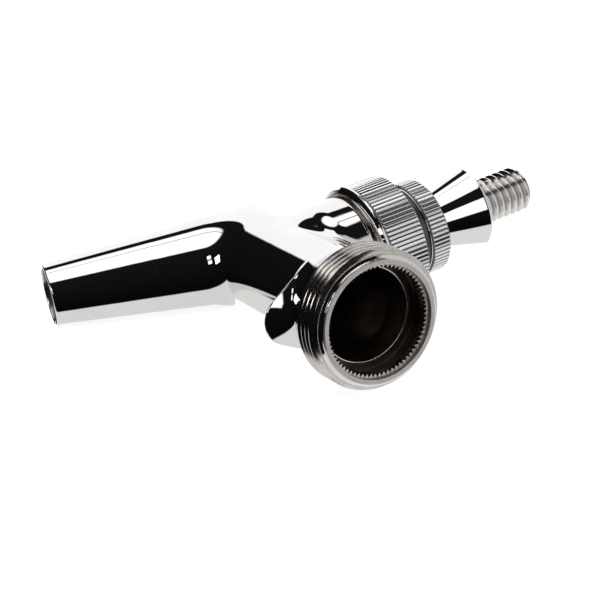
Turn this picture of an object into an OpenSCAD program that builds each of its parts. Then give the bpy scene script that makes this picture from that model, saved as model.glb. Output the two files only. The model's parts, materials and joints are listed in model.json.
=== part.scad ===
// Forward-sealing draft beer faucet: a spouted body that screws onto a shank,
// a ball-jointed lever held by a knurled bonnet and a knurled compression ring,
// and a sliding valve shaft whose O-ring seals against a seat at the front of the bore.
// The origin is the centre of the coupling face. +Y runs out of the coupling along the
// shank, +Z runs up the lever, and the spout points forward and down, to -Y and -Z.

/* [Shank coupling] */
// Outside diameter of the coupling thread, 1-1/8 inch by 18 turns per inch
coupling_d = 28.575; // [27.5:0.005:29]
// Length of the threaded collar, from the face back
coupling_len = 8.2; // [7:0.1:9]
// Diameter over the roots of the internal serrations
socket_d = 22.8; // [22.4:0.1:23.2]
// Depth of the coupling socket
socket_depth = 5.7; // [5:0.1:6.5]
// Number of anti-turn serrations round the socket
serration_count = 72; // [48:4:96]
// Depth of the prow under the neck, from the shank's centre line
prow_drop = 16.5; // [15.5:0.1:17]

/* [Body] */
// Outside diameter of the level tube
tube_d = 21.3; // [20.5:0.1:22.5]
// Diameter of the bore that the valve shaft slides in
bore_d = 16; // [15:0.1:16.4]
// Distance from the coupling face to the lever axis
lever_y = 34.3; // [33.5:0.1:36]
// Distance from the coupling face to the corner of the elbow
elbow_y = 50.15; // [49:0.05:52]
// Diameter of the rounded corner of the elbow
elbow_d = 21.7; // [21.6:0.1:22.6]
// Angle of the spout below the level tube
spout_drop = 66; // [60:1:72]
// Length of the spout, from the corner of the elbow to the outlet
spout_len = 42.9; // [38:0.1:50]
// Outside diameter at the outlet
outlet_d = 13.94; // [13.6:0.02:14.6]
// Wall thickness at the outlet
outlet_wall = 0.85; // [0.7:0.05:1]
// Angle of the outlet's end face from square, tilted towards level
outlet_tilt = 9; // [0:1:12]
// Diameter of the boss that carries the bonnet
boss_d = 24; // [23.6:0.1:24.6]
// Height of the boss above the tube's centre line
boss_h = 14.4; // [13.8:0.1:14.5]

/* [Bonnet] */
// Diameter over the bonnet's knurling
bonnet_d = 26.1; // [25.6:0.1:27]
// Height of the bonnet's top edge above the tube's centre line
bonnet_top = 25.4; // [25.2:0.1:25.8]
// Number of knurls round the bonnet
bonnet_knurls = 90; // [60:2:110]
// Diameter over the compression ring's knurling
ring_d = 19.64; // [19.4:0.02:20.4]
// Height of the compression ring's lower edge
ring_base = 28.2; // [28.1:0.05:28.4]
// Height of the compression ring's top edge
ring_top = 32.65; // [32.4:0.05:32.7]
// Number of knurls round the compression ring
ring_knurls = 68; // [48:2:84]

/* [Lever] */
// Diameter of the lever's ball
ball_d = 11.6; // [11.4:0.1:11.7]
// Height of the ball's centre above the tube's centre line
ball_z = 26; // [25.9:0.05:26.1]
// Diameter of the handle stud, 3/8 inch by 16 turns per inch
stud_d = 9.525; // [9.3:0.005:9.55]
// Height of the stud's tip
stud_top = 56.8; // [52:0.1:68]
// Height of the collar's wide end
collar_top = 43.7; // [42:0.1:46]
// Diameter of the collar's wide end
collar_d = 17.54; // [16.8:0.02:18]

/* [Hidden] */
$fn = 96;

// Clearances: parts that rest against each other, parts that slide or turn
rest_gap = 0.02;
run_gap = 0.05;

steel = [0.80, 0.80, 0.79];
chrome = [0.86, 0.88, 0.90];
machined = [0.62, 0.58, 0.55];
seal = [0.10, 0.10, 0.11];
plastic = [0.90, 0.89, 0.86];

coupling_r = coupling_d / 2;
socket_r = socket_d / 2;
serration_h = 0.75;
serration_depth = 3;
serration_tip_r = socket_r - serration_h + 0.1;
face_r = 12.4;
funnel_r = 9.6;
funnel_end = 10;
shank_neck_r = 11.2;
shank_neck_end = 16.3;
prow_tip_r = 5.3;
prow_root_r = 10.9;
prow_front = 13.4;
prow_ridge = 16.2;
prow_back = 18.4;
tube_r = tube_d / 2;
bore_r = bore_d / 2;
outlet_r = outlet_d / 2;
outlet_bore_r = outlet_r - outlet_wall;
outlet_land = 10;
spout_bore_r = 7.2;
elbow_bore_r = spout_bore_r + 0.3;
elbow_r = elbow_d / 2;
spout_root_r = elbow_r - 0.08;
boss_r = boss_d / 2;
boss_bore_r = 8.4;
boss_root = 2;
spigot_r = 11.2;
spigot_top = 22.6;

// The seat is a 45 degree cone at the front end of the bore
seat_y = 42;
throat_r = 5.4;
seat_run = bore_r - throat_r;
seal_section_r = 1.1;
seal_r = 5.6;
seal_y = seat_y + (bore_r - seal_r) - (seal_section_r + rest_gap) * sqrt(2);

bonnet_r = bonnet_d / 2;
bonnet_base = 14.9;
rim_r = bonnet_r + 0.55;
rim_top = 16.8;
neck_r = 9.2;
neck_top = ring_base - 0.2;
knurl_depth = 0.28;

ring_r = ring_d / 2;
skirt_r = 8.2;
skirt_base = 25.2;
skirt_bore_r = 7.05;
lip_base = 29.32;
lip_top = 30.3;
lip_r = 5.95;
dish_floor_r = 8.6;
dish_rim_r = ring_r - 0.52;

ball_r = ball_d / 2;
cup_ball_r = ball_r + 0.03;
washer_base = 28.82;
washer_t = 0.48;
cup_flange_r = 10.8;
cup_flange_t = 1;
cup_base = 18.5;
cup_top = 25.1;
cup_ring_z = 20;
cup_ring_section_r = 0.8;
lever_ring_section_r = 0.9;
lever_ring_drop = 27.7;
lever_ring_span = ball_r + lever_ring_section_r + rest_gap;
lever_ring_r = lever_ring_span * cos(lever_ring_drop);
lever_ring_z = ball_z - lever_ring_span * sin(lever_ring_drop);

stud_r = stud_d / 2;
neck_pin_r = 4;
seat_pin_r = 4.5;
stud_base = 34.5;
collar_base = 33.2;
collar_r = collar_d / 2;
collar_slope = tan(15.2);
finger_r = 1.8;
finger_tip_r = 2;
finger_tip_z = 2.5;

yoke_r = 5.2;
yoke_half = 5;
yoke_hole_r = finger_tip_r + 0.15;
guide_front = lever_y - yoke_half;
guide_rear = 25;

// Turns a shape drawn along Z so that it lies along Y
module along_y() {
    rotate([-90, 0, 0]) children();
}

// Places a shape on the lever's axis
module on_lever_axis() {
    translate([0, -lever_y, 0]) children();
}

// Places a shape drawn along Z so that it runs from the elbow's corner down the spout
module on_spout_axis() {
    translate([0, -elbow_y, 0]) rotate([90 + spout_drop, 0, 0]) children();
}

// A ring of round section, such as an O-ring, flat on the XY plane
module round_ring(ring_radius, section_radius) {
    rotate_extrude() translate([ring_radius, 0]) circle(r = section_radius, $fn = 32);
}

// Straight knurling: V grooves round a disc of radius r
module knurled_disc(r, count, depth, flat = 0.35) {
    step = 360 / count;
    polygon([
        for (i = [0 : count - 1], p = [[-flat, 0], [flat, 0], [1, -depth]])
            let (a = (i + p[0] / 2) * step)
                [(r + p[1]) * cos(a), (r + p[1]) * sin(a)]
    ]);
}

// Saw-tooth outline of the serrated socket: roots at r, tips depth inside it
module serrated_disc(r, count, depth) {
    step = 360 / count;
    polygon([
        for (i = [0 : 2 * count - 1])
            let (radius = r - (i % 2) * depth, a = i * step / 2)
                [radius * cos(a), radius * sin(a)]
    ]);
}

module coupling_outside() {
    along_y() rotate_extrude() polygon([
        [0, 0], [face_r, 0], [face_r + 0.25, -0.25], [face_r + 0.25, -0.6],
        [coupling_r, -1.4], [coupling_r, -coupling_len], [11.6, -coupling_len - 1],
        [11.3, -coupling_len - 2.4], [11.3, -coupling_len - 4],
        [shank_neck_r, -coupling_len - 5.5], [shank_neck_r, -shank_neck_end],
        [tube_r, -shank_neck_end - 0.4], [0, -shank_neck_end - 0.4]
    ]);
}

// One teardrop section of the prow: a round inside the neck joined to a small round at its tip
module prow_section(y, drop, root_r) {
    translate([0, -y, 0]) rotate([90, 0, 0]) cylinder(r = root_r, h = 0.05, $fn = 32);
    translate([0, -y, prow_tip_r - drop]) rotate([90, 0, 0])
        cylinder(r = prow_tip_r, h = 0.05, $fn = 32);
}

// The prow sweeps down from the neck to a ridge, and falls away steeply behind it
module prow() {
    hull() {
        prow_section(prow_front, prow_root_r + 0.1, prow_root_r - 0.1);
        prow_section(prow_ridge - 0.9, prow_drop - 2.9, prow_root_r - 0.1);
    }
    hull() {
        prow_section(prow_ridge - 1.2, prow_drop - 3.4, prow_root_r);
        prow_section(prow_ridge, prow_drop, prow_root_r);
        prow_section(prow_back, prow_root_r - 0.5, prow_root_r - 0.6);
    }
}

// The tapered spout, cut off at the outlet by a face tilted towards level
module spout_outside() {
    spare = 2;
    end_r = outlet_r - (spout_root_r - outlet_r) / spout_len * spare;
    on_spout_axis() difference() {
        cylinder(r1 = spout_root_r, r2 = end_r, h = spout_len + spare);
        translate([0, 0, spout_len]) rotate([outlet_tilt, 0, 0]) translate([-20, -20, 0])
            cube([40, 40, 10]);
    }
}

module body_outside() {
    coupling_outside();
    prow();
    translate([0, -shank_neck_end + 1, 0]) rotate([90, 0, 0])
        cylinder(r = tube_r, h = elbow_y - shank_neck_end + 1);
    translate([0, -elbow_y, 0]) sphere(r = elbow_r);
    spout_outside();
    on_lever_axis() rotate_extrude() polygon([
        [0, boss_root], [boss_r - 0.8, boss_root], [boss_r - 0.5, 10], [boss_r, 12.6], [boss_r, boss_h - 0.4],
        [boss_r - 0.3, boss_h], [spigot_r, boss_h], [spigot_r, spigot_top - 0.4],
        [spigot_r - 0.4, spigot_top], [0, spigot_top]
    ]);
}

module body_passages() {
    along_y() rotate_extrude() polygon([
        [0, 1], [serration_tip_r, 1], [serration_tip_r, -serration_depth + 0.25],
        [socket_r - 0.3, -serration_depth + 0.25], [socket_r - 0.3, -socket_depth],
        [funnel_r + 0.3, -socket_depth], [funnel_r, -socket_depth - 0.3],
        [bore_r, -funnel_end], [bore_r, -seat_y], [throat_r, -seat_y - seat_run],
        [throat_r, -elbow_y], [0, -elbow_y]
    ]);
    translate([0, -elbow_y, 0]) sphere(r = elbow_bore_r);
    on_spout_axis() cylinder(r1 = spout_bore_r, r2 = outlet_bore_r, h = spout_len - outlet_land);
    on_spout_axis() translate([0, 0, spout_len - outlet_land - 0.01])
        cylinder(r = outlet_bore_r, h = outlet_land + 3);
    on_lever_axis() translate([0, 0, 1]) cylinder(r = boss_bore_r, h = spigot_top);
}

module socket_serrations() {
    rotate([90, 0, 0]) translate([0, 0, -1]) linear_extrude(1 + serration_depth)
        serrated_disc(socket_r, serration_count, serration_h);
}

module faucet_body() {
    color(steel) difference() {
        difference() {
            body_outside();
            body_passages();
        }
        socket_serrations();
    }
}

module bonnet() {
    color(chrome) on_lever_axis() difference() {
        union() {
            rotate_extrude() polygon([
                [0, bonnet_base], [12.5, bonnet_base], [rim_r - 0.5, bonnet_base + 0.5],
                [rim_r, bonnet_base + 1.2], [rim_r, rim_top - 0.2], [rim_r - 0.35, rim_top],
                [bonnet_r - knurl_depth - 0.1, rim_top + 0.3],
                [bonnet_r - knurl_depth - 0.1, bonnet_top - 0.3],
                [bonnet_r - 0.8, bonnet_top], [neck_r + 0.3, bonnet_top],
                [neck_r, bonnet_top + 0.3], [neck_r, neck_top], [0, neck_top]
            ]);
            translate([0, 0, rim_top + 0.3]) linear_extrude(bonnet_top - rim_top - 0.7)
                knurled_disc(bonnet_r, bonnet_knurls, knurl_depth);
        }
        translate([0, 0, bonnet_base - 1])
            cylinder(r = spigot_r + run_gap, h = spigot_top + cup_flange_t + 1 + rest_gap - bonnet_base);
        cylinder(r = skirt_r + run_gap, h = neck_top + 1);
    }
}

module compression_ring() {
    color(chrome) on_lever_axis() difference() {
        union() {
            rotate_extrude() polygon([
                [0, skirt_base], [skirt_r - 0.3, skirt_base], [skirt_r, skirt_base + 0.3],
                [skirt_r, ring_base], [ring_r - 0.8, ring_base],
                [ring_r - knurl_depth - 0.1, ring_base + 0.4],
                [ring_r - knurl_depth - 0.1, ring_top - 0.3], [dish_rim_r, ring_top], [0, ring_top]
            ]);
            translate([0, 0, ring_base + 0.4]) linear_extrude(ring_top - ring_base - 0.75)
                knurled_disc(ring_r, ring_knurls, knurl_depth);
        }
        rotate_extrude() polygon([
            [0, skirt_base - 1], [skirt_bore_r, skirt_base - 1], [skirt_bore_r, lip_base],
            [lip_r, lip_base], [lip_r, lip_top], [dish_floor_r, lip_top],
            [dish_rim_r, ring_top], [dish_rim_r, ring_top + 1], [0, ring_top + 1]
        ]);
    }
}

module friction_washer() {
    color(plastic) on_lever_axis() translate([0, 0, washer_base]) difference() {
        cylinder(r = skirt_bore_r - run_gap, h = washer_t);
        translate([0, 0, -1]) cylinder(r = 5.7, h = washer_t + 2);
    }
}

module upper_ball_cup() {
    color(plastic) on_lever_axis() difference() {
        translate([0, 0, cup_top + 0.2])
            cylinder(r = skirt_bore_r - run_gap, h = washer_base - rest_gap - cup_top - 0.2);
        translate([0, 0, ball_z]) sphere(r = cup_ball_r);
        translate([0, 0, cup_top]) cylinder(r = cup_ball_r, h = ball_z - cup_top);
        translate([0, 0, washer_base - 0.4]) cylinder(r = 5.45, h = 1);
    }
}

module lower_ball_cup() {
    cup_r = boss_bore_r - run_gap;
    flange_base = spigot_top + rest_gap;
    color(plastic) on_lever_axis() difference() {
        rotate_extrude() polygon([
            [0, cup_base], [cup_r - 0.4, cup_base], [cup_r, cup_base + 0.4],
            [cup_r, flange_base], [cup_flange_r, flange_base],
            [cup_flange_r, flange_base + cup_flange_t - rest_gap],
            [skirt_r - 0.1, flange_base + cup_flange_t - rest_gap],
            [skirt_r - 0.1, cup_top], [0, cup_top]
        ]);
        translate([0, 0, ball_z]) sphere(r = cup_ball_r);
        translate([0, 0, cup_base - 0.01]) cylinder(r1 = 4.95, r2 = 4.2, h = 3.6);
        translate([0, 0, lever_ring_z - lever_ring_section_r - rest_gap])
            cylinder(r = lever_ring_r + lever_ring_section_r + rest_gap,
                     h = 2 * (lever_ring_section_r + rest_gap));
        rotate_extrude()
            translate([cup_r - 2 * cup_ring_section_r, cup_ring_z - cup_ring_section_r - rest_gap])
                square([3, 2 * (cup_ring_section_r + rest_gap)]);
    }
}

module cup_o_ring() {
    color(seal) on_lever_axis() translate([0, 0, cup_ring_z])
        round_ring(boss_bore_r - cup_ring_section_r - rest_gap, cup_ring_section_r);
}

module lever_o_ring() {
    color(seal) on_lever_axis() translate([0, 0, lever_ring_z])
        round_ring(lever_ring_r, lever_ring_section_r);
}

module lever() {
    color(machined) on_lever_axis() {
        translate([0, 0, ball_z]) sphere(r = ball_r);
        translate([0, 0, ball_z + 2]) cylinder(r = neck_pin_r, h = stud_base - ball_z - 1);
        rotate_extrude() polygon([
            [0, stud_base], [seat_pin_r - 0.4, stud_base], [seat_pin_r, stud_base + 0.4],
            [seat_pin_r, collar_top], [stud_r, collar_top + 0.2],
            [stud_r, stud_top - 0.9], [stud_r - 0.9, stud_top], [0, stud_top]
        ]);
        translate([0, 0, finger_tip_z]) cylinder(r = finger_r, h = ball_z - ball_r - finger_tip_z + 1);
        translate([0, 0, finger_tip_z]) sphere(r = finger_tip_r);
    }
}

module lever_collar() {
    base_r = collar_r - (collar_top - collar_base) * collar_slope;
    color(chrome) on_lever_axis() difference() {
        rotate_extrude() polygon([
            [0, collar_base], [base_r - 0.3, collar_base], [base_r, collar_base + 0.3],
            [collar_r - 0.1, collar_top - 0.7], [collar_r, collar_top - 0.4],
            [collar_r - 0.5, collar_top], [0, collar_top]
        ]);
        translate([0, 0, collar_base - 1])
            cylinder(r = seat_pin_r + rest_gap, h = collar_top - collar_base + 2);
    }
}

module valve_shaft() {
    seal_floor_r = seal_r - seal_section_r - rest_gap;
    color(machined) difference() {
        union() {
            along_y() rotate_extrude() polygon([
                [0, -seal_y - 1.9], [4.7, -seal_y - 1.9], [5, -seal_y - 1.6],
                [5, -seal_y - seal_section_r - rest_gap],
                [seal_floor_r, -seal_y - seal_section_r - rest_gap],
                [seal_floor_r, -seal_y + seal_section_r + rest_gap],
                [6.6, -seal_y + seal_section_r + rest_gap], [6.6, -seal_y + 2.2],
                [3, -seal_y + 2.8], [3, -lever_y - yoke_half], [0, -lever_y - yoke_half]
            ]);
            translate([0, -lever_y - yoke_half, 0]) along_y()
                cylinder(r = yoke_r, h = 2 * yoke_half);
            translate([0, -guide_front, 0]) along_y()
                cylinder(r = bore_r - run_gap, h = guide_front - guide_rear);
        }
        on_lever_axis() cylinder(r = yoke_hole_r, h = yoke_r + 1);
        on_lever_axis() translate([0, 0, 3.6]) cylinder(r1 = yoke_hole_r, r2 = 3.6, h = 2);
        for (a = [45 : 90 : 315])
            rotate([0, a, 0]) translate([bore_r, -guide_front - 1, 0]) along_y()
                cylinder(r = 4.2, h = guide_front - guide_rear + 2);
    }
}

module seat_o_ring() {
    color(seal) translate([0, -seal_y, 0]) along_y() round_ring(seal_r, seal_section_r);
}

faucet_body();
bonnet();
compression_ring();
friction_washer();
upper_ball_cup();
lower_ball_cup();
cup_o_ring();
lever_o_ring();
lever();
lever_collar();
valve_shaft();
seat_o_ring();
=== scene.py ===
"""Draft beer faucet lying on its side on a pale floor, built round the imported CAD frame."""
import json
import math

import bmesh
import bpy
import numpy as np
from mathutils import Matrix, Vector


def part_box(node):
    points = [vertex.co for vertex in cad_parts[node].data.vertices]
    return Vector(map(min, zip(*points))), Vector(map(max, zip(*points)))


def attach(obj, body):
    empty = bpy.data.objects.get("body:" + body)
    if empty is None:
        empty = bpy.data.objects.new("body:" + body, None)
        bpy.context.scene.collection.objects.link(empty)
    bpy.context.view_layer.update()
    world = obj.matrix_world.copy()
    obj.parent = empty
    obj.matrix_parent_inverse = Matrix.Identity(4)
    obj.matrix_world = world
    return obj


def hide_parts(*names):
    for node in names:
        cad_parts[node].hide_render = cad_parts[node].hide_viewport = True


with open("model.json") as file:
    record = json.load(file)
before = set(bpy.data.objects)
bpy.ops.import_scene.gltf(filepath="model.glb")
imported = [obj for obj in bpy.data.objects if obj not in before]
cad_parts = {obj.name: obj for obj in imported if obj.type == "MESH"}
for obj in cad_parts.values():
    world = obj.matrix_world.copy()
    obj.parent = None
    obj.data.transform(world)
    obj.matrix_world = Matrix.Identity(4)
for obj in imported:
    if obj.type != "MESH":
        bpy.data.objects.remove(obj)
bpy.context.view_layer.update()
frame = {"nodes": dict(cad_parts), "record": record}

# Shapes are worked out in millimetres and scaled to metres when a mesh is made.
MM = 0.001
MOUNTS = {mount["name"]: mount for mount in frame["record"]["mounts"]}


def span(node):
    """Lowest and highest corner of a CAD node, in millimetres."""
    low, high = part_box(node)
    return np.array(low) / MM, np.array(high) / MM


def mount_radius(name):
    return MOUNTS[name]["dims"]["r_mm"]


def unit(vector):
    vector = np.array(vector, float)
    return vector / np.linalg.norm(vector)


# ---------------------------------------------------------------- main sizes, in millimetres
X_AXIS = np.array([1.0, 0.0, 0.0])
Y_AXIS = np.array([0.0, 1.0, 0.0])
Z_AXIS = np.array([0.0, 0.0, 1.0])

bonnet_low, bonnet_high = span("bonnet")
ring_low, ring_high = span("compression_ring")
collar_low, collar_high = span("lever_collar")
lever_low, lever_high = span("lever")

lever_foot = np.array([0.0, (bonnet_low[1] + bonnet_high[1]) / 2, 0.0])
tube_r = 10.65
bore_r = 8.0
shank_neck_r = 11.2
shank_neck_start_y = -13.7
shank_neck_end_y = -16.3
turned_neck_end_y = -14.8
prow_drop = 16.5
prow_root_r = 11.0
prow_back_root_r = 10.4
prow_tip_r = 5.3
prow_inner_r = 9.3
prow_front_y = -13.4
prow_ridge_y = -16.2
prow_back_y = -18.4
coupling_r = mount_radius("coupling_thread")
coupling_pitch = 25.4 / 18
coupling_front_y = -1.4
coupling_back_y = -8.2
face_r = 12.4
socket_r = 11.4
socket_end_y = -5.7
funnel_r = 9.6
funnel_end_y = -10.0
tooth_count = 72
tooth_height = 0.75
tooth_front_y = -1.1
tooth_end_y = -3.0
tooth_lead_in = 0.12
tooth_run_out = 0.08

spout_axis = unit(MOUNTS["spout_outlet"]["axis"])
spout_bore_r = mount_radius("spout_outlet")
outlet_wall = 0.85
outlet_r = spout_bore_r + outlet_wall
spout_len = 42.9
outlet_land = 10.0
outlet_tilt = math.radians(9)
elbow = np.array([0.0, -50.15, 0.0])
elbow_bore_r = 7.5
spout_root_bore_r = 7.2
elbow_fillet = 2.8
seat_y = -42.0
throat_r = 5.4
throat_y = seat_y - (bore_r - throat_r)

boss_r = 12.0
boss_top = 14.4
boss_bore_r = 8.4
boss_fillet = 3.2
boss_waist = 1.4
spigot_r = 11.2
spigot_top = 22.6

bonnet_base = bonnet_low[2]
bonnet_neck_top = bonnet_high[2]
bonnet_shoulder = 25.4
bonnet_rim_r = (bonnet_high[0] - bonnet_low[0]) / 2
bonnet_knurl_r = bonnet_rim_r - 0.55
bonnet_neck_r = 9.2
bonnet_knurls = 90
ring_r = (ring_high[0] - ring_low[0]) / 2
ring_base = 28.2
ring_top = ring_high[2]
ring_knurls = 68
knurl_depth = 0.28

collar_base = collar_low[2]
collar_top = collar_high[2]
collar_r = (collar_high[0] - collar_low[0]) / 2
collar_slope = math.radians(15.2)
collar_base_r = collar_r - (collar_top - collar_base) * math.tan(collar_slope)
collar_bore_r = 4.52
stud_r = mount_radius("handle_stud")
stud_pitch = 25.4 / 16
stud_top = lever_high[2]
ball_r = 5.8
ball_z = 26.0
finger_tip_r = 2.0
finger_tip_z = lever_low[2] + finger_tip_r

# A V thread with flats an eighth of the pitch wide on its crests and roots
THREAD_FLAT = 0.125
THREAD_DEPTH = 0.6495


# ---------------------------------------------------------------- mesh helpers
def grid_faces(rows, columns, close_columns=True):
    """Quads of a grid whose rows always close, and whose columns close unless told not to."""
    row = np.arange(rows)
    column = np.arange(columns if close_columns else columns - 1)
    row, column = np.meshgrid(row, column, indexing="ij")
    next_row = (row + 1) % rows
    next_column = (column + 1) % columns
    quads = [
        row * columns + column,
        row * columns + next_column,
        next_row * columns + next_column,
        next_row * columns + column,
    ]
    return np.stack(quads, -1).reshape(-1, 4)


def placed(points, origin, axis):
    """Points drawn along Z, moved to stand on origin and run along axis, which lies in the YZ plane."""
    axis = unit(axis)
    across = np.cross(axis, X_AXIS)
    return origin + points[:, :1] * X_AXIS + points[:, 1:2] * across + points[:, 2:] * axis


def merged(*shells):
    """One (points, faces) pair from several."""
    points, faces, start = [], [], 0
    for shell_points, shell_faces in shells:
        points.append(shell_points)
        faces.append(shell_faces + start)
        start += len(shell_points)
    return np.concatenate(points), np.concatenate(faces)


def rounded(corners, steps=5, support=0.1):
    """A closed outline. Each corner is (radius, height) or (radius, height, fillet)."""
    outline = []
    count = len(corners)
    for i, corner in enumerate(corners):
        point = np.array(corner[:2], float)
        before = np.array(corners[i - 1][:2], float) - point
        after = np.array(corners[(i + 1) % count][:2], float) - point
        before_len, after_len = np.linalg.norm(before), np.linalg.norm(after)
        before, after = before / before_len, after / after_len
        half = math.acos(np.clip(before @ after, -1, 1)) / 2
        fillet = corner[2] if len(corner) > 2 else 0
        if not fillet or half > 1.5:
            outline.append(point)
            continue
        cut = min(fillet / math.tan(half), 0.45 * before_len, 0.45 * after_len)
        centre = point + unit(before + after) * cut / math.cos(half)
        start, end = point + before * cut - centre, point + after * cut - centre
        turn = math.pi - 2 * half
        if before_len > 2 * (cut + support):
            outline.append(point + before * (cut + support))
        for t in np.linspace(0, 1, steps + 1):
            mix = math.sin((1 - t) * turn) * start + math.sin(t * turn) * end
            outline.append(centre + mix / math.sin(turn))
        if after_len > 2 * (cut + support):
            outline.append(point + after * (cut + support))
    return np.array(outline)


def lathe(outline, columns, shape=None):
    """The closed outline of (radius, height) points turned round Z. shape may change the radius."""
    theta = np.arange(columns) * 2 * math.pi / columns
    radius = np.repeat(outline[:, :1], columns, 1)
    height = np.repeat(outline[:, 1:], columns, 1)
    if shape:
        radius = shape(theta[None, :], radius, height)
    points = np.stack([radius * np.cos(theta), radius * np.sin(theta), height], -1)
    return points.reshape(-1, 3), grid_faces(len(outline), columns)


def tooth_wave(theta, count):
    """0 in a gap and 1 on a tooth, as a triangle wave with count teeth in a turn."""
    return 1 - np.abs(2 * np.mod(count * theta / (2 * math.pi), 1) - 1)


def knurling(count, crest_r, low, high, floor_r):
    """A shape for lathe: straight V grooves cut into the band between two heights, outside floor_r."""
    def shape(theta, radius, height):
        groove = 1 - np.clip(tooth_wave(theta, count) * 1.5, 0, 1)
        cut = crest_r - knurl_depth * groove
        band = (height > low) & (height < high) & (radius > floor_r)
        return np.where(band, np.minimum(radius, cut), radius)
    return shape


def threaded_sleeve(crest_r, pitch, low, high, columns, chamfer):
    """A right-hand V thread between two heights, with a chamfered run-out at each end."""
    depth = THREAD_DEPTH * pitch
    inward = np.array([1, 0.94, 0.875, 0.86, 0.5, 0.15, 0.115, 0.06, 0])
    outward = inward[-2:0:-1]
    across = np.concatenate([inward, outward])
    fractions = np.concatenate([(1 - inward) / 2, 0.5 + outward / 2])
    ridge = np.clip((1 - THREAD_FLAT - across) / (1 - 2 * THREAD_FLAT), 0, 1)
    turns = int(math.ceil((high - low) / pitch)) + 2
    level = np.concatenate([turn + fractions for turn in range(-1, turns)])
    ridge = np.tile(ridge, turns + 1)
    theta = np.linspace(0, 1, columns + 1)
    height = low + (level[:, None] + theta[None, :]) * pitch
    height = np.clip(height, low, high)
    root_r = crest_r - depth
    envelope = root_r - 0.05 + np.minimum(height - low, high - height) * chamfer
    radius = np.minimum(crest_r - depth * (1 - ridge[:, None]), envelope)
    inner = np.full((1, columns + 1), root_r - 0.3)
    radius = np.concatenate([inner, radius, inner])
    height = np.concatenate([np.full_like(inner, low), height, np.full_like(inner, high)])
    angle = theta * 2 * math.pi
    points = np.stack([radius * np.cos(angle), radius * np.sin(angle), height], -1)
    return points.reshape(-1, 3), grid_faces(len(radius), columns + 1, close_columns=False)


def piece(name, shell, body, nodes, materials, pick=None, sharp=24, normals=None):
    """A mesh object that rides on body and stands for CAD nodes. pick gives each face's material."""
    points, faces = shell
    mesh = bpy.data.meshes.new(name)
    mesh.from_pydata((points * MM).tolist(), [], faces.tolist())
    if normals is None:
        work = bmesh.new()
        work.from_mesh(mesh)
        bmesh.ops.remove_doubles(work, verts=work.verts, dist=1.5e-6)
        bmesh.ops.recalc_face_normals(work, faces=work.faces)
        work.to_mesh(mesh)
        work.free()
    for material in materials:
        mesh.materials.append(material)
    mesh.shade_smooth()
    if normals is None:
        mesh.set_sharp_from_angle(angle=math.radians(sharp))
    else:
        mesh.normals_split_custom_set_from_vertices(normals.tolist())
    if pick:
        centres = np.empty(len(mesh.polygons) * 3)
        mesh.polygons.foreach_get("center", centres)
        chosen = pick(centres.reshape(-1, 3) / MM).astype(np.int32)
        mesh.polygons.foreach_set("material_index", chosen)
    mesh.update()
    obj = bpy.data.objects.new(name, mesh)
    bpy.context.scene.collection.objects.link(obj)
    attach(obj, body)
    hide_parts(*nodes)
    return obj


# ---------------------------------------------------------------- the cast body as a distance field
def smoothstep(value, low, high):
    t = np.clip((value - low) / (high - low), 0, 1)
    return t * t * (3 - 2 * t)


def smooth_min(a, b, width):
    """The smaller of two distances, with a fillet of about the given width where they meet."""
    width = np.maximum(width, 1e-6)
    overlap = np.maximum(width - np.abs(a - b), 0) / width
    return np.minimum(a, b) - overlap * overlap * width / 4


def outer_field(points):
    """Signed distance to the outside of the tube, elbow, spout and boss."""
    x, z = points[..., 0], points[..., 2]
    from_elbow = points[..., 1] - elbow[1]
    tube = np.sqrt(x * x + z * z + np.minimum(from_elbow, 0) ** 2) - tube_r
    along = from_elbow * spout_axis[1] + z * spout_axis[2]
    across = np.hypot(x, from_elbow * spout_axis[2] - z * spout_axis[1])
    taper = math.asin((tube_r - outlet_r) / math.hypot(spout_len, tube_r - outlet_r))
    on_cone = along * math.cos(taper) - across * math.sin(taper)
    cone = along * math.sin(taper) + across * math.cos(taper)
    spout = np.where(on_cone > 0, cone, np.hypot(along, across)) - tube_r
    inner_way = unit(Y_AXIS + spout_axis)
    inner_side = from_elbow * inner_way[1] + z * inner_way[2]
    barrel = smooth_min(tube, spout, elbow_fillet * smoothstep(inner_side, -1, 8))
    boss_radius = boss_r - boss_waist * (1 - smoothstep(z, 1, 9))
    boss = np.maximum(np.hypot(x, points[..., 1] - lever_foot[1]) - boss_radius, -z)
    return smooth_min(barrel, boss, boss_fillet * smoothstep(z, 1, 6))


def cavity_field(points):
    """Signed distance to the passages inside the body."""
    x, y, z = points[..., 0], points[..., 1], points[..., 2]
    from_elbow = y - elbow[1]
    bore = np.hypot(x, z) - np.interp(y, [throat_y, seat_y], [throat_r, bore_r])
    bore = np.maximum(bore, -from_elbow)
    corner = np.sqrt(x * x + z * z + from_elbow ** 2) - elbow_bore_r
    along = from_elbow * spout_axis[1] + z * spout_axis[2]
    across = np.hypot(x, from_elbow * spout_axis[2] - z * spout_axis[1])
    spout = across - np.interp(along, [0, spout_len - outlet_land], [spout_root_bore_r, spout_bore_r])
    spout = np.maximum(spout, -along)
    boss = np.maximum(np.hypot(x, y - lever_foot[1]) - boss_bore_r, 1 - z)
    return np.minimum(np.minimum(bore, corner), np.minimum(spout, boss))


# Where the cast shell stops under its turned ends, and the lowest corner of the grid that it is drawn in
SHELL_SHANK_END = -15.6
SHELL_BOSS_END = 14.1
SHELL_SPOUT_END = 20.0
SHELL_LOW_Y = -67.8
SHELL_LOW_Z = -23.0


def shell_field(points):
    """Signed distance to the cast shell, cut off inside the three turned ends that cover its edges."""
    shell = np.maximum(outer_field(points), -cavity_field(points))
    shell = np.maximum(shell, points[..., 1] - SHELL_SHANK_END)
    shell = np.maximum(shell, points[..., 2] - SHELL_BOSS_END)
    return np.maximum(shell, (points - elbow) @ spout_axis - SHELL_SPOUT_END)


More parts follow.
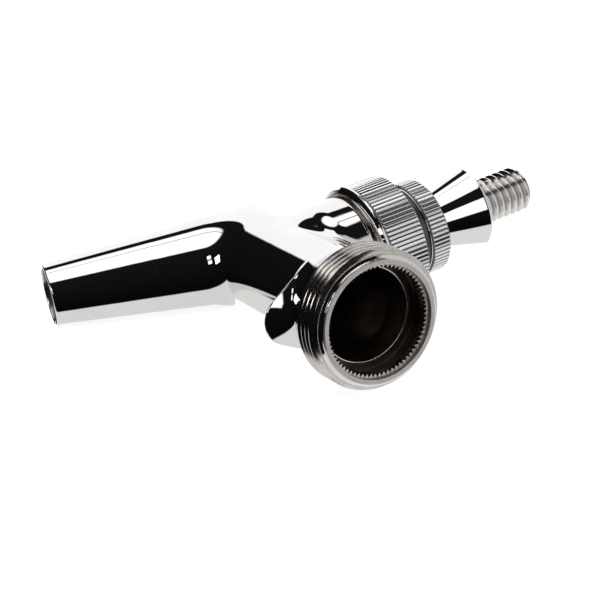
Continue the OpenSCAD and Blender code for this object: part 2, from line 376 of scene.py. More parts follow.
def gradient(field, points, step=0.01):
    return np.stack([field(points + step * axis) - field(points - step * axis)
                     for axis in (X_AXIS, Y_AXIS, Z_AXIS)], -1) / (2 * step)


def surface_net(field, low, high, step):
    """Quads on a field's zero level, with one vertex in each cell of the grid that it crosses."""
    axes = [np.arange(a, b + step, step) for a, b in zip(low, high)]
    values = field(np.stack(np.meshgrid(*axes, indexing="ij"), -1))
    inside = values < 0
    size = np.array(values.shape) - 1
    corners = np.zeros(size, int)
    for dx in (0, 1):
        for dy in (0, 1):
            for dz in (0, 1):
                corners += inside[dx:dx + size[0], dy:dy + size[1], dz:dz + size[2]]
    cells = np.argwhere((corners > 0) & (corners < 8))
    index = np.full(size, -1)
    index[tuple(cells.T)] = np.arange(len(cells))
    total, hits = np.zeros((len(cells), 3)), np.zeros(len(cells))
    faces = []
    for axis in range(3):
        way = np.eye(3, dtype=int)[axis]
        side_a, side_b = np.eye(3, dtype=int)[[(axis + 1) % 3, (axis + 2) % 3]]
        for shift in (0 * way, side_a, side_b, side_a + side_b):
            start = cells + shift
            a = values[tuple(start.T)]
            b = values[tuple((start + way).T)]
            crossed = (a < 0) != (b < 0)
            t = a[crossed] / (a[crossed] - b[crossed])
            total[crossed] += start[crossed] + t[:, None] * way
            hits[crossed] += 1
        first = np.take(inside, range(values.shape[axis] - 1), axis)
        second = np.take(inside, range(1, values.shape[axis]), axis)
        edges = np.argwhere(first != second)
        edges = edges[np.all(edges < size, 1) & (edges @ side_a > 0) & (edges @ side_b > 0)]
        around = [edges - side_a - side_b, edges - side_b, edges, edges - side_a]
        quads = np.stack([index[tuple(cell.T)] for cell in around], -1)
        outward = first[tuple(edges.T)]
        quads[~outward] = quads[~outward][:, ::-1]
        faces.append(quads)
    points = np.array(low) + step * total / hits[:, None]
    faces = np.concatenate(faces)
    for _ in range(4):
        slope = gradient(field, points)
        points = points - slope * (field(points) / (slope ** 2).sum(1))[:, None]
    return points, faces


def body_casting(steel, dark):
    """Tube, elbow, upper spout and boss in one smooth skin, with normals taken from the field."""
    cell = 0.3
    margin = 3 * cell
    half_width = boss_r + 2 * cell
    low = [-half_width, SHELL_LOW_Y, SHELL_LOW_Z]
    high = [half_width, SHELL_SHANK_END + margin, SHELL_BOSS_END + margin]
    points, faces = surface_net(shell_field, low, high, cell)
    normals = gradient(shell_field, points)
    normals /= np.linalg.norm(normals, axis=1)[:, None]
    # Faces on the passages take the dark bore steel, as painted shade inside the body.
    return piece("body_casting", (points, faces), "body", ["faucet_body"],
                 [steel, dark], lambda centres: cavity_field(centres) < 0.2, normals=normals)


def spout_radius(along):
    taper = (tube_r / math.cos(math.asin((tube_r - outlet_r) / spout_len)) - outlet_r) / spout_len
    return outlet_r + (spout_len - along) * taper


def body_spout(steel, dark):
    """The turned lower spout with its thin rounded lip."""
    start = SHELL_SPOUT_END - 1.5
    proud = 0.008
    lip = 0.28
    outline = rounded([
        (spout_radius(start) - 0.2, start),
        (spout_radius(start + 0.3) + proud, start + 0.3),
        (outlet_r + proud, spout_len, lip),
        (spout_bore_r, spout_len, lip),
        (spout_bore_r, spout_len - outlet_land),
        (np.interp(start, [0, spout_len - outlet_land], [spout_root_bore_r, spout_bore_r]) - 0.01, start),
    ])
    points, faces = lathe(outline, 256)
    near_mouth = smoothstep(points[:, 2], spout_len - outlet_land, spout_len)
    points[:, 2] += near_mouth * points[:, 1] * math.tan(outlet_tilt)
    shell = placed(points, elbow, spout_axis), faces
    mouth_normal = spout_axis - np.cross(spout_axis, X_AXIS) * math.tan(outlet_tilt)

    # Faces inside the spout take the darker spout bore steel, as painted shade.
    def pick(centres):
        along = (centres - elbow) @ mouth_normal
        off_axis = centres - elbow - ((centres - elbow) @ spout_axis)[:, None] * spout_axis
        return (np.linalg.norm(off_axis, axis=1) < spout_bore_r + 0.15) & (along < spout_len - 0.3)

    return piece("body_spout", shell, "body", ["faucet_body"], [steel, dark], pick)


def teardrop_radius(angle, drop, root_r):
    """Distance from the axis to a teardrop, at an angle from straight down: a round joined to its tip."""
    reach = np.maximum(drop - prow_tip_r, root_r - prow_tip_r + 0.02)
    lean = np.arccos((root_r - prow_tip_r) / reach)
    tip_end = np.arctan2(prow_tip_r * np.sin(lean), reach + prow_tip_r * np.cos(lean))
    across = np.minimum((reach * np.sin(angle)) ** 2, prow_tip_r ** 2)
    tip = reach * np.cos(angle) + np.sqrt(prow_tip_r ** 2 - across)
    flank = root_r / np.cos(np.clip(angle - lean, -1.4, 1.4))
    return np.where(angle < tip_end, tip, np.where(angle < lean, flank, root_r))


def body_prow(steel):
    """Prow under the neck: it sweeps down to a crisp ridge and falls away steeply behind it."""
    start = prow_root_r + 0.05
    rise = prow_drop - 0.15 - start
    run = prow_ridge_y + 0.1 - prow_front_y
    sweep = [(start + rise * t ** 2.2, prow_front_y + run * t) for t in np.linspace(0, 1, 20)]
    fall_r = prow_drop - 0.2
    fall_y = prow_ridge_y - 0.4
    ridge = [(prow_drop - 0.03, prow_ridge_y), (prow_drop, prow_ridge_y - 0.15),
             (prow_drop - 0.08, prow_ridge_y - 0.3), (fall_r, fall_y)]
    fall = [(fall_r + (prow_back_root_r - fall_r) * t, fall_y + (prow_back_y - fall_y) * t ** 1.3)
            for t in np.linspace(0.1, 1, 10)]
    outline = np.array([(prow_inner_r, prow_front_y), *sweep, *ridge, *fall, (prow_inner_r, prow_back_y)])

    def shape(theta, radius, height):
        angle = np.abs(np.mod(theta + math.pi / 2, 2 * math.pi) - math.pi)
        root_r = np.interp(height, [prow_back_y, fall_y], [prow_back_root_r, prow_root_r])
        return np.where(radius > prow_inner_r + 0.1, teardrop_radius(angle, radius, root_r), radius)

    points, faces = lathe(outline, 480, shape)
    shell = placed(points, np.zeros(3), Y_AXIS), faces
    return piece("body_prow", shell, "body", ["faucet_body"], [steel])


def body_shank_collar(steel, turned, neck, dark, face):
    """Threaded coupling collar with its serrated socket, and the plain neck behind it."""
    root_r = coupling_r - THREAD_DEPTH * coupling_pitch
    lip_r = face_r + 0.28
    outline = rounded([
        (tube_r - 0.35, shank_neck_end_y - 1),
        (tube_r + 0.02, shank_neck_end_y - 0.4, 0.1),
        (shank_neck_r, shank_neck_end_y, 0.15),
        (shank_neck_r, shank_neck_start_y, 2.0),
        (11.3, -12.2, 1.0),
        (11.3, -10.6, 0.5),
        (11.75, -9.3, 0.3),
        (root_r - 0.15, coupling_back_y - 0.05, 0.1),
        (root_r - 0.15, coupling_front_y + 0.35, 0.05),
        (lip_r, -0.62, 0.08),
        (lip_r, -0.28, 0.1),
        (face_r, 0, 0.12),
        (socket_r + 0.12, 0, 0.08),
        (socket_r, tooth_front_y + 0.15),
        (socket_r, tooth_front_y),
        (socket_r, tooth_front_y - tooth_lead_in),
        (socket_r, tooth_end_y),
        (socket_r, tooth_end_y - tooth_run_out),
        (socket_r, socket_end_y, 0.1),
        (funnel_r, socket_end_y, 0.08),
        (funnel_r - 0.1, socket_end_y - 0.3),
        (bore_r, funnel_end_y, 0.3),
        (bore_r, shank_neck_end_y - 1),
    ])

    def serrations(theta, radius, height):
        lead_in = np.clip((tooth_front_y - height) / tooth_lead_in, 0, 1)
        run_out = np.clip((height - tooth_end_y + tooth_run_out) / tooth_run_out, 0, 1)
        on_wall = np.abs(radius - socket_r) < 0.05
        return radius - on_wall * lead_in * run_out * tooth_height * tooth_wave(theta, tooth_count)

    core = lathe(outline, tooth_count * 6, serrations)
    sleeve = threaded_sleeve(coupling_r, coupling_pitch, coupling_back_y, coupling_front_y + 0.25, 256, 1.3)
    points, faces = merged(core, sleeve)
    shell = placed(points, np.zeros(3), Y_AXIS), faces

    def pick(centres):
        radius = np.hypot(centres[:, 0], centres[:, 2])
        y = centres[:, 1]
        # socket_wall and inside take the dark bore steel, as painted shade in the socket and the bore.
        socket_wall = (radius < socket_r + 0.03) & (y < tooth_end_y) & (y > socket_end_y - 0.1)
        inside = (radius < socket_r - 0.9) | socket_wall
        near_rim = (radius > funnel_r - 0.3) & (radius < funnel_r + 0.15)
        bore_rim = near_rim & (y < socket_end_y + 0.05) & (y > socket_end_y - 0.35)
        on_face = (y > tooth_front_y - 0.2) & (radius < face_r + 0.2)
        bright = bore_rim | ((radius > face_r + 0.2) & (y > -1.0))
        thread = y > coupling_back_y - 0.6
        neck_zone = y > turned_neck_end_y
        return np.select([bright, on_face, inside, thread, neck_zone], [0, 4, 3, 1, 2], 0)

    return piece("body_shank_collar", shell, "body", ["faucet_body"],
                 [steel, turned, neck, dark, face], pick)


def body_spigot(steel, turned):
    """Top edge of the boss and the threaded spigot that carries the bonnet."""
    start = SHELL_BOSS_END - 0.5
    outline = rounded([
        (boss_bore_r, start),
        (boss_r - 0.2, start),
        (boss_r + 0.008, start + 0.2),
        (boss_r + 0.008, boss_top, 0.3),
        (spigot_r, boss_top, 0.1),
        (spigot_r, spigot_top, 0.3),
        (boss_bore_r, spigot_top, 0.1),
    ])
    points, faces = lathe(outline, 288)
    shell = placed(points, lever_foot, Z_AXIS), faces
    return piece("body_spigot", shell, "body", ["faucet_body"], [steel, turned],
                 lambda centres: centres[:, 2] > boss_top - 0.05)


def bonnet(chrome, knurl, turned, dark):
    """Knurled bonnet with a plain rim below the knurling and a short neck above it."""
    knurl_low = bonnet_base + 2.25
    foot_r = 12.42
    bore = spigot_r + 0.05
    ring_bore = 8.25
    cup_recess_top = spigot_top + 1.05
    chamfer = [(bonnet_knurl_r - 0.75 * t, bonnet_shoulder - 0.55 + 0.55 * t) for t in np.linspace(0, 1, 7)]
    outline = rounded([
        (bore, bonnet_base),
        (foot_r, bonnet_base, 0.08),
        (foot_r, bonnet_base + 0.42, 0.05),
        (13.1, bonnet_base + 0.55, 0.12),
        (bonnet_rim_r, bonnet_base + 1.2, 0.15),
        (bonnet_rim_r, bonnet_base + 1.68, 0.12),
        (bonnet_rim_r - 0.35, bonnet_base + 1.92, 0.08),
        (bonnet_knurl_r - knurl_depth - 0.08, bonnet_base + 2.05, 0.05),
        (bonnet_knurl_r - knurl_depth - 0.08, knurl_low - 0.02),
        (bonnet_knurl_r - 0.2, knurl_low + 0.02),
        (bonnet_knurl_r, knurl_low + 0.2),
        *chamfer,
        (bonnet_neck_r + 0.25, bonnet_shoulder, 0.1),
        (bonnet_neck_r, bonnet_shoulder + 0.25),
        (bonnet_neck_r, bonnet_neck_top, 0.2),
        (ring_bore, bonnet_neck_top, 0.1),
        (ring_bore, cup_recess_top),
        (bore, cup_recess_top),
    ])
    shape = knurling(bonnet_knurls, bonnet_knurl_r, knurl_low, bonnet_shoulder, bonnet_neck_r + 1)
    points, faces = lathe(outline, bonnet_knurls * 6, shape)
    shell = placed(points, lever_foot, Z_AXIS), faces

    def pick(centres):
        radius = np.hypot(centres[:, 0], centres[:, 1] - lever_foot[1])
        height = centres[:, 2]
        knurled = (height > knurl_low - 0.1) & (height < bonnet_shoulder) & (radius > boss_r)
        # The neck above the shoulder, in the groove under the ring, takes the dark bore steel as painted
        # shade.
        neck = height > bonnet_shoulder + 0.1
        return np.select([knurled, height < bonnet_base + 0.45, neck], [1, 2, 3], 0)

    return piece("knurled_bonnet", shell, "body", ["bonnet"],
                 [chrome, knurl, turned, dark], pick)


def compression_ring(chrome, knurl):
    """Knurled ring with a dished top that presses the ball cup down."""
    skirt_r = 8.2
    skirt_bore_r = 7.05
    lip_r = 5.95
    lip_base, lip_top = 29.32, 30.3
    low_chamfer = [(ring_r - 0.7 * (1 - t), ring_base + 0.45 * t) for t in np.linspace(0, 1, 6)]
    high_chamfer = [(ring_r - 0.52 * t, ring_top - 0.5 + 0.5 * t) for t in np.linspace(0, 1, 6)]
    outline = rounded([
        (skirt_bore_r, ring_low[2]),
        (skirt_r, ring_low[2], 0.2),
        (skirt_r, ring_base),
        *low_chamfer,
        *high_chamfer,
        (ring_r - 0.75, ring_top - 0.05),
        (8.6, lip_top, 0.3),
        (lip_r, lip_top, 0.15),
        (lip_r, lip_base),
        (skirt_bore_r, lip_base),
    ])
    shape = knurling(ring_knurls, ring_r, ring_base - 0.05, ring_top + 0.05, skirt_r + 0.6)
    points, faces = lathe(outline, ring_knurls * 6, shape)
    shell = placed(points, lever_foot, Z_AXIS), faces

    def pick(centres):
        radius = np.hypot(centres[:, 0], centres[:, 1] - lever_foot[1])
        return radius > ring_r - 0.6

    return piece("knurled_compression_ring", shell, "compression_ring", ["compression_ring"],
                 [chrome, knurl], pick)


def lever(steel, stud):
    """Ball lever in one piece: valve finger, ball, neck and threaded handle stud."""
    root_r = stud_r - THREAD_DEPTH * stud_pitch
    tip = [(finger_tip_r * math.sin(a), finger_tip_z - finger_tip_r * math.cos(a))
           for a in np.linspace(0, math.pi * 0.62, 16)]
    finger_r, neck_r, seat_r = 1.8, 4.0, 4.5
    ball_start = math.asin((finger_r + 0.3) / ball_r)
    ball_end = math.pi - math.asin((neck_r + 0.2) / ball_r)
    ball = [(ball_r * math.sin(a), ball_z - ball_r * math.cos(a))
            for a in np.linspace(ball_start, ball_end, 48)]
    outline = rounded([
        *tip,
        (finger_r, ball_z - ball_r - 0.6, 0.4),
        *ball,
        (neck_r, ball_z + ball_r - 0.9, 0.4),
        (neck_r, collar_base + 1.2),
        (seat_r, collar_base + 1.6),
        (seat_r, collar_top - 0.2),
        (root_r - 0.05, collar_top + 0.1),
        (root_r - 0.05, stud_top, 0.25),
        (0, stud_top),
    ])
    core = lathe(outline, 192)
    sleeve = threaded_sleeve(stud_r, stud_pitch, collar_top - 0.4, stud_top - 0.1, 144, 1.0)
    points, faces = merged(core, sleeve)
    shell = placed(points, lever_foot, Z_AXIS), faces
    return piece("ball_lever", shell, "lever", ["lever"], [steel, stud],
                 lambda centres: centres[:, 2] > collar_top - 0.5)


def lever_collar(chrome):
    """Flared collar that the handle sits on."""
    outline = rounded([
        (collar_bore_r, collar_base),
        (collar_base_r - 0.1, collar_base, 0.25),
        (collar_r - 0.12, collar_top - 0.75, 0.3),
        (collar_r, collar_top - 0.5, 0.12),
        (collar_r - 0.35, collar_top, 0.18),
        (collar_r - 1.6, collar_top, 0.1),
        (collar_r - 1.9, collar_top - 0.25, 0.1),
        (collar_bore_r, collar_top - 0.25, 0.1),
    ])
    points, faces = lathe(outline, 256)
    return piece("flared_lever_collar", (placed(points, lever_foot, Z_AXIS), faces), "lever",
                 ["lever_collar"], [chrome])


# ---------------------------------------------------------------- materials
class Graph:
    """A node tree, with short calls for the nodes used here."""

    def __init__(self, tree):
        self.tree = tree
        tree.nodes.clear()

    def node(self, kind, inputs=None, **settings):
        made = self.tree.nodes.new(kind)
        for name, value in settings.items():
            setattr(made, name, value)
        for name, value in (inputs or {}).items():
            self.feed(made.inputs[name], value)
        return made

    def feed(self, socket, value):
        if isinstance(value, bpy.types.NodeSocket):
            self.tree.links.new(value, socket)
        elif isinstance(value, (tuple, list, np.ndarray)) and len(value) == 3 and socket.type == "RGBA":
            socket.default_value = (*value, 1)
        else:
            socket.default_value = value

    def math(self, operation, *values):
        made = self.node("ShaderNodeMath", operation=operation)
        for socket, value in zip(made.inputs, values):
            self.feed(socket, value)
        return made.outputs[0]

    def vector(self, operation, *values, output=0):
        made = self.node("ShaderNodeVectorMath", operation=operation)
        for socket, value in zip(made.inputs, values):
            self.feed(socket, value)
        return made.outputs[output]

    def remap(self, value, low, high, to_low=0.0, to_high=1.0, smooth=False):
        kind = "SMOOTHSTEP" if smooth else "LINEAR"
        made = self.node("ShaderNodeMapRange", interpolation_type=kind)
        for socket, given in zip(made.inputs, (value, low, high, to_low, to_high)):
            self.feed(socket, given)
        return made.outputs[0]

    def blend(self, amount, first, second):
        made = self.node("ShaderNodeMix", data_type="RGBA")
        self.feed(made.inputs[0], amount)
        self.feed(made.inputs[6], first)
        self.feed(made.inputs[7], second)
        return made.outputs[2]

    def noise(self, place, scale, detail=3.0, roughness=0.5):
        made = self.node("ShaderNodeTexNoise", {"Vector": place, "Scale": scale, "Detail": detail,
                                                "Roughness": roughness})
        return made.outputs["Fac"]

    def position(self):
        """Place on the piece in millimetres, which moves with the piece."""
        place = self.node("ShaderNodeTexCoord").outputs["Object"]
        return self.vector("MULTIPLY", place, (1 / MM,) * 3)

    def turned(self, place, foot, axis):
        """(distance from the axis, distance along it) of a place, in millimetres."""
        away = self.vector("SUBTRACT", place, tuple(foot))
        along = self.vector("DOT_PRODUCT", away, tuple(axis), output=1)
        on_axis = self.node("ShaderNodeVectorMath", {0: tuple(axis)}, operation="SCALE")
        self.feed(on_axis.inputs["Scale"], along)
        radius = self.vector("LENGTH", self.vector("SUBTRACT", away, on_axis.outputs[0]), output=1)
        return radius, along


def finished(name, build):
    """A material whose colour, roughness and bump height come from build(graph)."""
    material = bpy.data.materials.new(name)
    material.use_nodes = True
    graph = Graph(material.node_tree)
    look = build(graph)
    bump = graph.node("ShaderNodeBump", {"Height": look["height"], "Distance": look["relief"] * MM,
                                         "Strength": 1.0})
    shader = graph.node("ShaderNodeBsdfPrincipled", {
        "Base Color": look["colour"], "Roughness": look["roughness"],
        "Metallic": look.get("metallic", 1.0), "Normal": bump.outputs[0]})
    for socket, value in look.get("extra", {}).items():
        graph.feed(shader.inputs[socket], value)
    output = graph.node("ShaderNodeOutputMaterial")
    graph.tree.links.new(shader.outputs[0], output.inputs[0])
    return material


def polish(colour, tint, roughness, wave=0.02):
    """Mirror polish: a slight orange peel, faint hairline scratches and a little colour variation."""
    def build(graph):
        place = graph.position()
        peel = graph.noise(place, 0.16, 2)
        hairs = graph.noise(graph.vector("MULTIPLY", place, (9, 0.7, 9)), 1.0, 4, 0.7)
        cloud = graph.noise(place, 0.12, 3)
        scratched = graph.remap(hairs, 0.5, 0.8, 0, roughness)
        hazy = graph.remap(cloud, 0.3, 0.7, roughness * 0.5, roughness)
        rough = graph.math("ADD", scratched, hazy)
        height = graph.math("ADD", graph.math("MULTIPLY", peel, wave),
                            graph.math("MULTIPLY", hairs, wave * 0.012))
        return {"colour": graph.blend(graph.remap(cloud, 0.35, 0.65), colour, tint),
                "roughness": rough, "height": height, "relief": 1.0}
    return build


def turning(colour, shade, roughness, foot, axis, groove=0.004, pitch=5.0):
    """Lathe-turned metal: fine rings round an axis, darker in the valleys, with a stain here and there."""
    def build(graph):
        place = graph.position()
        radius, along = graph.turned(place, foot, axis)
        across = graph.node("ShaderNodeCombineXYZ", {"X": radius, "Y": along})
        rings = graph.noise(across.outputs[0], pitch, 4, 0.65)
        stain = graph.noise(place, 0.35, 4, 0.6)
        in_valleys = graph.remap(rings, 0.35, 0.65, 0, 0.6)
        in_stains = graph.remap(stain, 0.4, 0.7, 0, 0.4)
        mix = graph.math("ADD", in_valleys, in_stains)
        return {"colour": graph.blend(mix, colour, shade),
                "roughness": graph.remap(rings, 0.3, 0.7, roughness * 0.7, roughness * 1.3),
                "height": rings, "relief": groove}
    return build


def ridged(crest, root, roughness, foot, axis, root_r, crest_r):
    """Metal with cut ridges: bright on the crests as a painted highlight, and darker and rougher down in
    the cuts, with the darker colour there as painted shade.
    """
    def build(graph):
        place = graph.position()
        radius = graph.turned(place, foot, axis)[0]
        grain = graph.noise(place, 6.0, 3, 0.6)
        uneven = graph.math("ADD", radius, graph.remap(grain, 0.3, 0.7, -0.03, 0.03))
        high = graph.remap(uneven, root_r, crest_r)
        # Colour runs from painted shade in the cuts to a painted highlight on the crests.
        return {"colour": graph.blend(high, root, crest),
                "roughness": graph.remap(high, 0, 1, roughness * 1.8, roughness),
                "height": grain, "relief": 0.002}
    return build


def moulded(colour, tint, roughness, grain_scale, relief, extra):
    """Moulded plastic or rubber: an even colour with a fine grain and a few softer patches."""
    def build(graph):
        place = graph.position()
        grain = graph.noise(place, grain_scale, 5, 0.6)
        patch = graph.noise(place, 0.5, 2)
        return {"colour": graph.blend(graph.remap(patch, 0.35, 0.65), colour, tint),
                "roughness": graph.remap(grain, 0.3, 0.7, roughness - 0.08, roughness + 0.08),
                "height": grain, "relief": relief, "metallic": 0.0, "extra": extra}
    return build


STEEL = finished("polished_stainless_steel", polish((0.83, 0.82, 0.805), (0.79, 0.785, 0.775), 0.035))
CHROME = finished("bright_chrome", polish((0.86, 0.875, 0.89), (0.82, 0.835, 0.855), 0.04))
NECK = finished("turned_neck_steel", turning((0.72, 0.75, 0.79), (0.55, 0.58, 0.62), 0.06,
                                             np.zeros(3), Y_AXIS))
TURNED = finished("turned_coupling_steel", turning((0.82, 0.79, 0.76), (0.44, 0.40, 0.37), 0.15,
                                                   np.zeros(3), Y_AXIS))
FACE = finished("turned_face_steel", turning((0.86, 0.82, 0.79), (0.58, 0.53, 0.50), 0.42,
                                             np.zeros(3), Y_AXIS))
SPIGOT = finished("turned_spigot_steel", turning((0.60, 0.54, 0.49), (0.22, 0.18, 0.16), 0.2,
                                                 lever_foot, Z_AXIS, 0.02, 7.0))
# Bore steel: its near-black colour is painted shade for the dim inside of the passages and the groove under
# the ring, with the turning stains on top.
BORE = finished("stained_bore_steel", turning((0.20, 0.165, 0.14), (0.06, 0.048, 0.04), 0.36,
                                              np.zeros(3), Y_AXIS, 0.006, 2.5))
# Spout bore: rough turned steel, with its darker colour as painted shade inside the spout.
SPOUT_BORE = finished("dull_spout_bore", turning((0.42, 0.40, 0.38), (0.2, 0.19, 0.18), 0.3,
                                                 elbow, spout_axis, 0.006, 3.0))
# Knurl crests near white as a painted highlight, and the cut roots near black as painted shade.
KNURL_BONNET = finished("knurled_chrome_bonnet", ridged((0.95, 0.96, 0.98), (0.10, 0.10, 0.105), 0.13,
                        lever_foot, Z_AXIS, bonnet_knurl_r - knurl_depth, bonnet_knurl_r))
KNURL_RING = finished("knurled_chrome_ring", ridged((0.95, 0.96, 0.98), (0.10, 0.10, 0.105), 0.13,
                      lever_foot, Z_AXIS, ring_r - knurl_depth, ring_r))
# Thread crests brightened as a painted highlight, and the roots darker as painted shade.
STUD = finished("threaded_steel", ridged((0.92, 0.90, 0.88), (0.56, 0.53, 0.50), 0.13,
                lever_foot, Z_AXIS, stud_r - THREAD_DEPTH * stud_pitch, stud_r))
MACHINED = finished("machined_steel", turning((0.70, 0.68, 0.66), (0.52, 0.50, 0.48), 0.16,
                                              lever_foot, Z_AXIS))
SHAFT = finished("machined_shaft_steel", turning((0.62, 0.60, 0.58), (0.36, 0.34, 0.33), 0.22,
                                                 np.zeros(3), Y_AXIS))
ACETAL = finished("white_acetal", moulded((0.84, 0.83, 0.79), (0.80, 0.78, 0.74), 0.42, 9.0, 0.004,
                                          {"Subsurface Weight": 0.15, "Subsurface Scale": 0.001}))
RUBBER = finished("black_rubber", moulded((0.018, 0.018, 0.019), (0.028, 0.027, 0.027), 0.55, 12.0, 0.006,
                                          {"Specular IOR Level": 0.35}))

body_casting(STEEL, BORE)
body_spout(STEEL, SPOUT_BORE)
body_shank_collar(STEEL, TURNED, NECK, BORE, FACE)
body_prow(STEEL)
body_spigot(STEEL, SPIGOT)
bonnet(CHROME, KNURL_BONNET, SPIGOT, BORE)
compression_ring(CHROME, KNURL_RING)
lever(MACHINED, STUD)
lever_collar(CHROME)

KEPT_CAD = {
    "friction_washer": ACETAL,
    "upper_ball_cup": ACETAL,
    "lower_ball_cup": ACETAL,
    "cup_o_ring": RUBBER,
    "lever_o_ring": RUBBER,
    "seat_o_ring": RUBBER,
    "valve_shaft": SHAFT,
}
for node_name, finish in KEPT_CAD.items():
    cad_mesh = frame["nodes"][node_name].data
    cad_mesh.materials.clear()
    cad_mesh.materials.append(finish)
    cad_mesh.shade_smooth()
    cad_mesh.set_sharp_from_angle(angle=math.radians(28))


# ---------------------------------------------------------------- floor, light and camera
def resting_normal(rims):
    """The floor's normal: the plane on the -X side that touches three circular rims."""
    normal = X_AXIS
    for _ in range(40):
        touch = []
        for centre, axis, radius in rims:
            away = unit(normal - axis * (normal @ axis))
            touch.append(centre - radius * away)
        normal = unit(np.cross(touch[1] - touch[0], touch[2] - touch[0]))
        normal = normal if normal[0] > 0 else -normal
    return normal, touch[0] @ normal


coupling_crest = np.array([0.0, -4.0, 0.0])
bonnet_rim = lever_foot + Z_AXIS * (bonnet_base + 1.6)
floor_up, floor_offset = resting_normal([
    (coupling_crest, Y_AXIS, coupling_r),
    (bonnet_rim, Z_AXIS, bonnet_rim_r),
    (elbow + spout_axis * spout_len, spout_axis, outlet_r),
])

eye = np.array([207.3, 409.3, -220.0])
target = np.array([6.7, -8.4, -11.9])
camera_roll = math.radians(-3.94)
lens_mm = 159.5

back = unit(eye - target)
right = unit(np.cross(floor_up, back))
upward = np.cross(back, right)
toward = unit(back - floor_up * (back @ floor_up))
sideways = np.cross(floor_up, toward)


def make_camera():
    camera = bpy.data.objects.new("camera", bpy.data.cameras.new("camera"))
    bpy.context.scene.collection.objects.link(camera)
    camera.data.lens = lens_mm
    camera.data.sensor_width = 36
    camera.data.clip_start = 0.01
    camera.data.clip_end = 10
    turn = np.array([right, upward, back]).T @ np.array(Matrix.Rotation(camera_roll, 3, "Z"))
    place = np.eye(4)
    place[:3, :3] = turn
    place[:3, 3] = eye * MM
    camera.matrix_world = Matrix(place.tolist())
    bpy.context.scene.camera = camera


def make_floor():
    """A wide pale sheet under the faucet, seen only from above and left out of mirror reflections."""
    half = 1500.0
    centre = floor_up * (floor_offset - 0.02)
    signs = ((-1, -1), (-1, 1), (1, 1), (1, -1))
    corners = [centre + half * (a * toward + b * sideways) for a, b in signs]
    mesh = bpy.data.meshes.new("floor")
    mesh.from_pydata([tuple(corner * MM) for corner in corners], [], [(0, 1, 2, 3)])
    floor = bpy.data.objects.new("floor", mesh)
    bpy.context.scene.collection.objects.link(floor)
    mesh.update()
    if Vector(mesh.polygons[0].normal).dot(Vector(floor_up)) < 0:
        mesh.flip_normals()
    floor.visible_glossy = False
    material = bpy.data.materials.new("pale_floor")
    material.use_nodes = True
    graph = Graph(material.node_tree)
    grain = graph.noise(graph.position(), 0.8, 3)
    diffuse = graph.node("ShaderNodeBsdfDiffuse", {"Color": graph.blend(grain, (0.80, 0.81, 0.82),
                                                                        (0.83, 0.83, 0.83))})
    glow = graph.node("ShaderNodeEmission", {"Color": (1, 1, 1), "Strength": 0.8})
    lit = graph.node("ShaderNodeAddShader", {0: diffuse.outputs[0], 1: glow.outputs[0]})
    behind = graph.node("ShaderNodeNewGeometry").outputs["Backfacing"]
    clear = graph.node("ShaderNodeBsdfTransparent")
    shown = graph.node("ShaderNodeMixShader", {0: behind, 1: lit.outputs[0], 2: clear.outputs[0]})
    output = graph.node("ShaderNodeOutputMaterial")
    graph.tree.links.new(shown.outputs[0], output.inputs[0])
    mesh.materials.append(material)


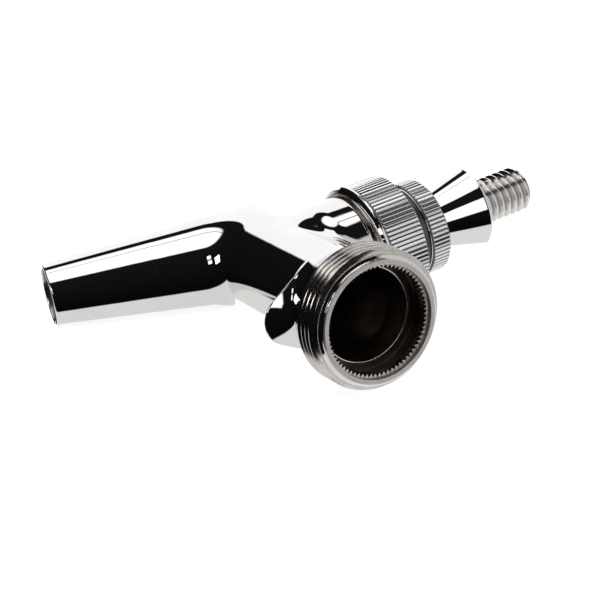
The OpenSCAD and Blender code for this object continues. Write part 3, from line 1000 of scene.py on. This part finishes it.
def make_light():
    """Studio light as a sky, in degrees of elevation above the floor and azimuth from the camera.

    A seamed overhead panel, a backdrop, two small windows, a lamp, two side lights, a dark room and a
    pale table. The camera itself sees plain white.
    """
    world = bpy.data.worlds.new("studio")
    bpy.context.scene.world = world
    world.use_nodes = True
    graph = Graph(world.node_tree)
    way = graph.node("ShaderNodeTexCoord").outputs["Generated"]
    up = graph.vector("DOT_PRODUCT", way, tuple(floor_up), output=1)
    front = graph.vector("DOT_PRODUCT", way, tuple(toward), output=1)
    side = graph.vector("DOT_PRODUCT", way, tuple(sideways), output=1)
    degrees = 180 / math.pi
    elevation = graph.math("MULTIPLY", graph.math("ARCSINE", up), degrees)
    azimuth = graph.math("MULTIPLY", graph.math("ARCTAN2", side, front), degrees)
    turned_away = graph.math("ABSOLUTE", azimuth)

    def band(value, low, high, soft=1.5):
        rise = graph.remap(value, low - soft, low + soft, smooth=True)
        fall = graph.remap(value, high - soft, high + soft, 1, 0, smooth=True)
        return graph.math("MULTIPLY", rise, fall)

    def lit(strength, *parts):
        value = parts[0]
        for part in parts[1:]:
            value = graph.math("MULTIPLY", value, part)
        return graph.math("MULTIPLY", value, strength)

    slant = graph.math("MULTIPLY", side, 14)
    overhead_edge = graph.math("ADD", graph.remap(front, -0.5, 0.5, 59, 66), slant)
    overhead = graph.remap(graph.math("SUBTRACT", elevation, overhead_edge), -1.5, 1.5, smooth=True)
    away = graph.math("MULTIPLY", front, -1.0)
    lean = graph.math("MULTIPLY", graph.math("ARCTAN2", away, up), degrees)
    seam = graph.remap(band(lean, 15.2, 16.8, 0.3), 0, 1, 1, 0.05)
    backdrop_top = graph.math("ADD", 46.6, graph.math("MULTIPLY", side, 26))
    below_top = graph.remap(graph.math("SUBTRACT", elevation, backdrop_top), -1, 1, 1, 0, smooth=True)
    backdrop = graph.math("MULTIPLY", band(turned_away, 146, 400), below_top)
    table_edge = graph.remap(front, -0.6, 0.8, -17, -38)
    table = graph.remap(graph.math("SUBTRACT", elevation, table_edge), -2, 2, 1, 0, smooth=True)
    room = graph.remap(elevation, -40, 60, 0.002, 0.008)
    lights = [
        lit(0.80, table),
        lit(1.15, backdrop),
        lit(1.35, overhead, seam),
        lit(1.5, band(azimuth, -34, -19, 0.6), band(elevation, 33, 41, 0.6)),
        lit(1.5, band(azimuth, -34, -19, 0.6), band(elevation, 22, 30, 0.6)),
        lit(4.0, band(azimuth, -68, -48, 0.8), band(elevation, 16, 30, 0.8)),
        lit(1.3, band(azimuth, 17, 44), band(elevation, 6, 38)),
        lit(0.65, band(azimuth, 50, 150, 3), band(elevation, -90, 44, 3)),
    ]
    light = room
    for lamp in lights:
        light = graph.math("MAXIMUM", light, lamp)
    seen = graph.node("ShaderNodeLightPath").outputs["Is Camera Ray"]
    light = graph.math("ADD", light, graph.math("MULTIPLY", seen, graph.math("SUBTRACT", 1.0, light)))
    sky = graph.node("ShaderNodeBackground", {"Strength": light})
    output = graph.node("ShaderNodeOutputWorld")
    graph.tree.links.new(sky.outputs[0], output.inputs[0])
    sky.inputs["Color"].default_value = (1, 1, 1, 1)


make_camera()
make_floor()
make_light()
bpy.context.scene.view_settings.view_transform = "Standard"
